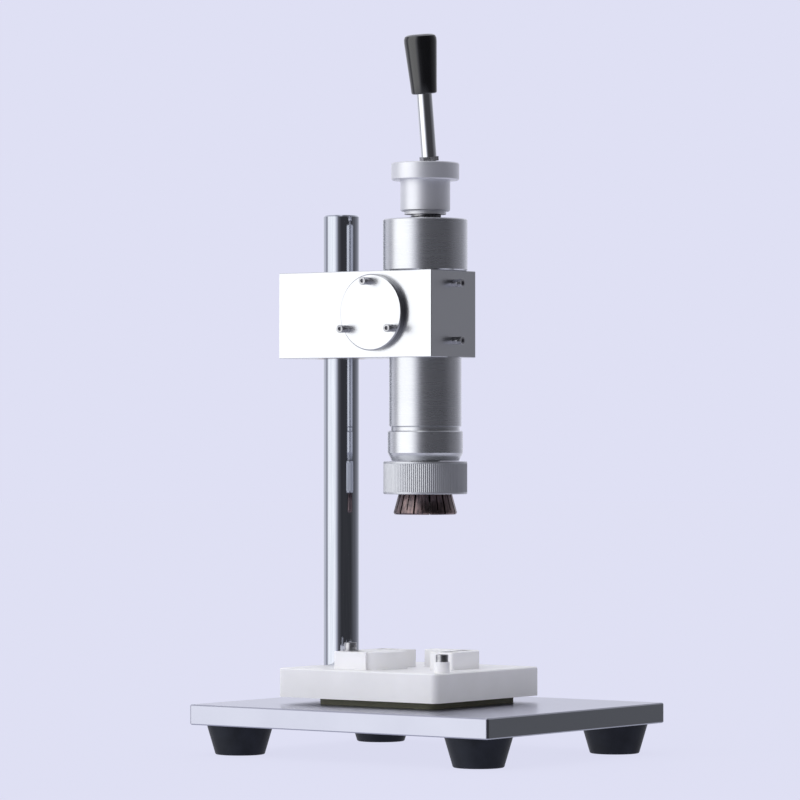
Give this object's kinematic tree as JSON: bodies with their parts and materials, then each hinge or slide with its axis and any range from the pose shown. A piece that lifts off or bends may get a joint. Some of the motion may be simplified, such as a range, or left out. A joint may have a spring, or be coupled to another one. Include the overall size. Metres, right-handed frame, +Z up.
{
  "type": "benchtop bottle crimping machine",
  "caption": "Hand-worked bottle crimper: plate base on rubber feet, chromed post, aluminium head with a pressed plunger, swinging cam lever, closing ring, flared claws and a white bottle nest.",
  "frame": {"origin": "on the ground under the middle of the base plate", "axes": "+X from the post towards the crimping head, +Y to the rear, +Z up"},
  "size_m": [0.252, 0.212, 0.4972],
  "materials": {
    "plate_aluminium": "fine blasted and clear anodised",
    "turned_aluminium": "satin turned and clear anodised",
    "post_chrome": "hard chromed and ground",
    "lever_chrome": "bright chrome",
    "screw_steel": "stainless cap screws",
    "spring_steel": "oiled spring wire",
    "tool_steel": "ground steel",
    "claw_steel": "blackened and polished",
    "bronze": "sintered bronze",
    "nest_plastic": "milled white plastic",
    "grip_plastic": "moulded black",
    "foot_rubber": "moulded black rubber"
  },
  "bodies": {
    "stand": {"base_plate": "plate_aluminium", "foot_front_left": "foot_rubber", "foot_front_right": "foot_rubber", "foot_rear_left": "foot_rubber", "foot_rear_right": "foot_rubber", "foot_washers": "screw_steel", "foot_screws": "screw_steel", "post": "post_chrome", "post_washer": "screw_steel", "post_bolt": "screw_steel", "nest_plate": "nest_plastic", "nest_sheet": "foot_rubber", "nest_screws": "screw_steel", "guide_screws": "screw_steel", "guide_washer": "screw_steel", "stop_bush": "nest_plastic", "stop_screw": "screw_steel"},
    "front_guide": {"front_guide": "nest_plastic"},
    "rear_guide": {"rear_guide": "nest_plastic"},
    "post_bush": {"post_bush": "bronze"},
    "head": {"head_block": "plate_aluminium", "cover_disc": "plate_aluminium", "cover_disc_screws": "screw_steel", "barrel_lock_screws": "screw_steel", "post_lock_screws": "screw_steel", "barrel": "turned_aluminium", "barrel_collar": "turned_aluminium", "upper_bush": "bronze", "barrel_nose": "turned_aluminium", "lower_bush": "bronze", "spring_seat": "screw_steel", "return_spring": "spring_steel"},
    "plunger": {"press_knob": "turned_aluminium", "plunger_tube": "tool_steel", "lever_pivot_pin": "tool_steel", "collet_hub": "tool_steel", "centring_pad": "grip_plastic", "closing_spring": "spring_steel"},
    "lever": {"lever_cam": "tool_steel", "lever_rod": "lever_chrome", "lever_jam_nut": "tool_steel", "lever_grip": "grip_plastic"},
    "closer": {"push_rod": "tool_steel", "cross_pin": "tool_steel", "closing_sleeve": "tool_steel", "knurled_ring": "turned_aluminium"},
    "claw_1": {"claw_1": "claw_steel"},
    "claw_2": {"claw_2": "claw_steel"},
    "claw_3": {"claw_3": "claw_steel"},
    "claw_4": {"claw_4": "claw_steel"},
    "claw_5": {"claw_5": "claw_steel"},
    "claw_6": {"claw_6": "claw_steel"},
    "claw_7": {"claw_7": "claw_steel"},
    "claw_8": {"claw_8": "claw_steel"},
    "claw_9": {"claw_9": "claw_steel"},
    "claw_10": {"claw_10": "claw_steel"},
    "claw_11": {"claw_11": "claw_steel"},
    "claw_12": {"claw_12": "claw_steel"}
  },
  "joints": [
    {"name": "front_guide_slide", "type": "slide", "parent": "stand", "child": "front_guide", "axis": [-1, 0, 0], "range_m": [0, 0.008]},
    {"name": "rear_guide_slide", "type": "slide", "parent": "stand", "child": "rear_guide", "axis": [0, 1, 0], "range_m": [0, 0.008]},
    {"name": "head_height", "type": "slide", "parent": "stand", "child": "post_bush", "axis": [0, 0, 1], "range_m": [-0.06, 0.035]},
    {"name": "head_swivel", "type": "hinge", "parent": "post_bush", "child": "head", "pos_m": [-0.075, 0, 0.3035], "axis": [0, 0, 1], "range_deg": [-180, 180]},
    {"name": "press_stroke", "type": "slide", "parent": "head", "child": "plunger", "axis": [0, 0, -1], "range_m": [0, 0.024], "stiffness_N_per_m": 1500, "springref_m": -0.008, "deforming": ["return_spring"]},
    {"name": "lever_swing", "type": "hinge", "parent": "plunger", "child": "lever", "pos_m": [0.0021, 0, 0.402], "axis": [-1, 0, 0], "range_deg": [0, 80]},
    {"name": "ring_close", "type": "slide", "parent": "plunger", "child": "closer", "axis": [0, 0, -1], "range_m": [0, 0.004], "deforming": ["closing_spring"]},
    {"name": "claw_1_close", "type": "hinge", "parent": "plunger", "child": "claw_1", "pos_m": [0.012, 0, 0.186], "axis": [0, 1, 0], "range_deg": [0, 5.6]},
    {"name": "claw_2_close", "type": "hinge", "parent": "plunger", "child": "claw_2", "pos_m": [0.01012, 0.007, 0.186], "axis": [-0.5, 0.866, 0], "range_deg": [0, 5.6]},
    {"name": "claw_3_close", "type": "hinge", "parent": "plunger", "child": "claw_3", "pos_m": [0.005, 0.01212, 0.186], "axis": [-0.866, 0.5, 0], "range_deg": [0, 5.6]},
    {"name": "claw_4_close", "type": "hinge", "parent": "plunger", "child": "claw_4", "pos_m": [-0.002, 0.014, 0.186], "axis": [-1, 0, 0], "range_deg": [0, 5.6]},
    {"name": "claw_5_close", "type": "hinge", "parent": "plunger", "child": "claw_5", "pos_m": [-0.009, 0.01212, 0.186], "axis": [-0.866, -0.5, 0], "range_deg": [0, 5.6]},
    {"name": "claw_6_close", "type": "hinge", "parent": "plunger", "child": "claw_6", "pos_m": [-0.01412, 0.007, 0.186], "axis": [-0.5, -0.866, 0], "range_deg": [0, 5.6]},
    {"name": "claw_7_close", "type": "hinge", "parent": "plunger", "child": "claw_7", "pos_m": [-0.016, 0, 0.186], "axis": [0, -1, 0], "range_deg": [0, 5.6]},
    {"name": "claw_8_close", "type": "hinge", "parent": "plunger", "child": "claw_8", "pos_m": [-0.01412, -0.007, 0.186], "axis": [0.5, -0.866, 0], "range_deg": [0, 5.6]},
    {"name": "claw_9_close", "type": "hinge", "parent": "plunger", "child": "claw_9", "pos_m": [-0.009, -0.01212, 0.186], "axis": [0.866, -0.5, 0], "range_deg": [0, 5.6]},
    {"name": "claw_10_close", "type": "hinge", "parent": "plunger", "child": "claw_10", "pos_m": [-0.002, -0.014, 0.186], "axis": [1, 0, 0], "range_deg": [0, 5.6]},
    {"name": "claw_11_close", "type": "hinge", "parent": "plunger", "child": "claw_11", "pos_m": [0.005, -0.01212, 0.186], "axis": [0.866, 0.5, 0], "range_deg": [0, 5.6]},
    {"name": "claw_12_close", "type": "hinge", "parent": "plunger", "child": "claw_12", "pos_m": [0.01012, -0.007, 0.186], "axis": [0.5, 0.866, 0], "range_deg": [0, 5.6]}
  ],
  "couplings": [
    {"joint": "ring_close", "follows": "lever_swing", "m_per_rad": 0.002864},
    {"joint": "claw_1_close", "follows": "lever_swing", "ratio": 0.07},
    {"joint": "claw_2_close", "follows": "lever_swing", "ratio": 0.07},
    {"joint": "claw_3_close", "follows": "lever_swing", "ratio": 0.07},
    {"joint": "claw_4_close", "follows": "lever_swing", "ratio": 0.07},
    {"joint": "claw_5_close", "follows": "lever_swing", "ratio": 0.07},
    {"joint": "claw_6_close", "follows": "lever_swing", "ratio": 0.07},
    {"joint": "claw_7_close", "follows": "lever_swing", "ratio": 0.07},
    {"joint": "claw_8_close", "follows": "lever_swing", "ratio": 0.07},
    {"joint": "claw_9_close", "follows": "lever_swing", "ratio": 0.07},
    {"joint": "claw_10_close", "follows": "lever_swing", "ratio": 0.07},
    {"joint": "claw_11_close", "follows": "lever_swing", "ratio": 0.07},
    {"joint": "claw_12_close", "follows": "lever_swing", "ratio": 0.07}
  ]
}
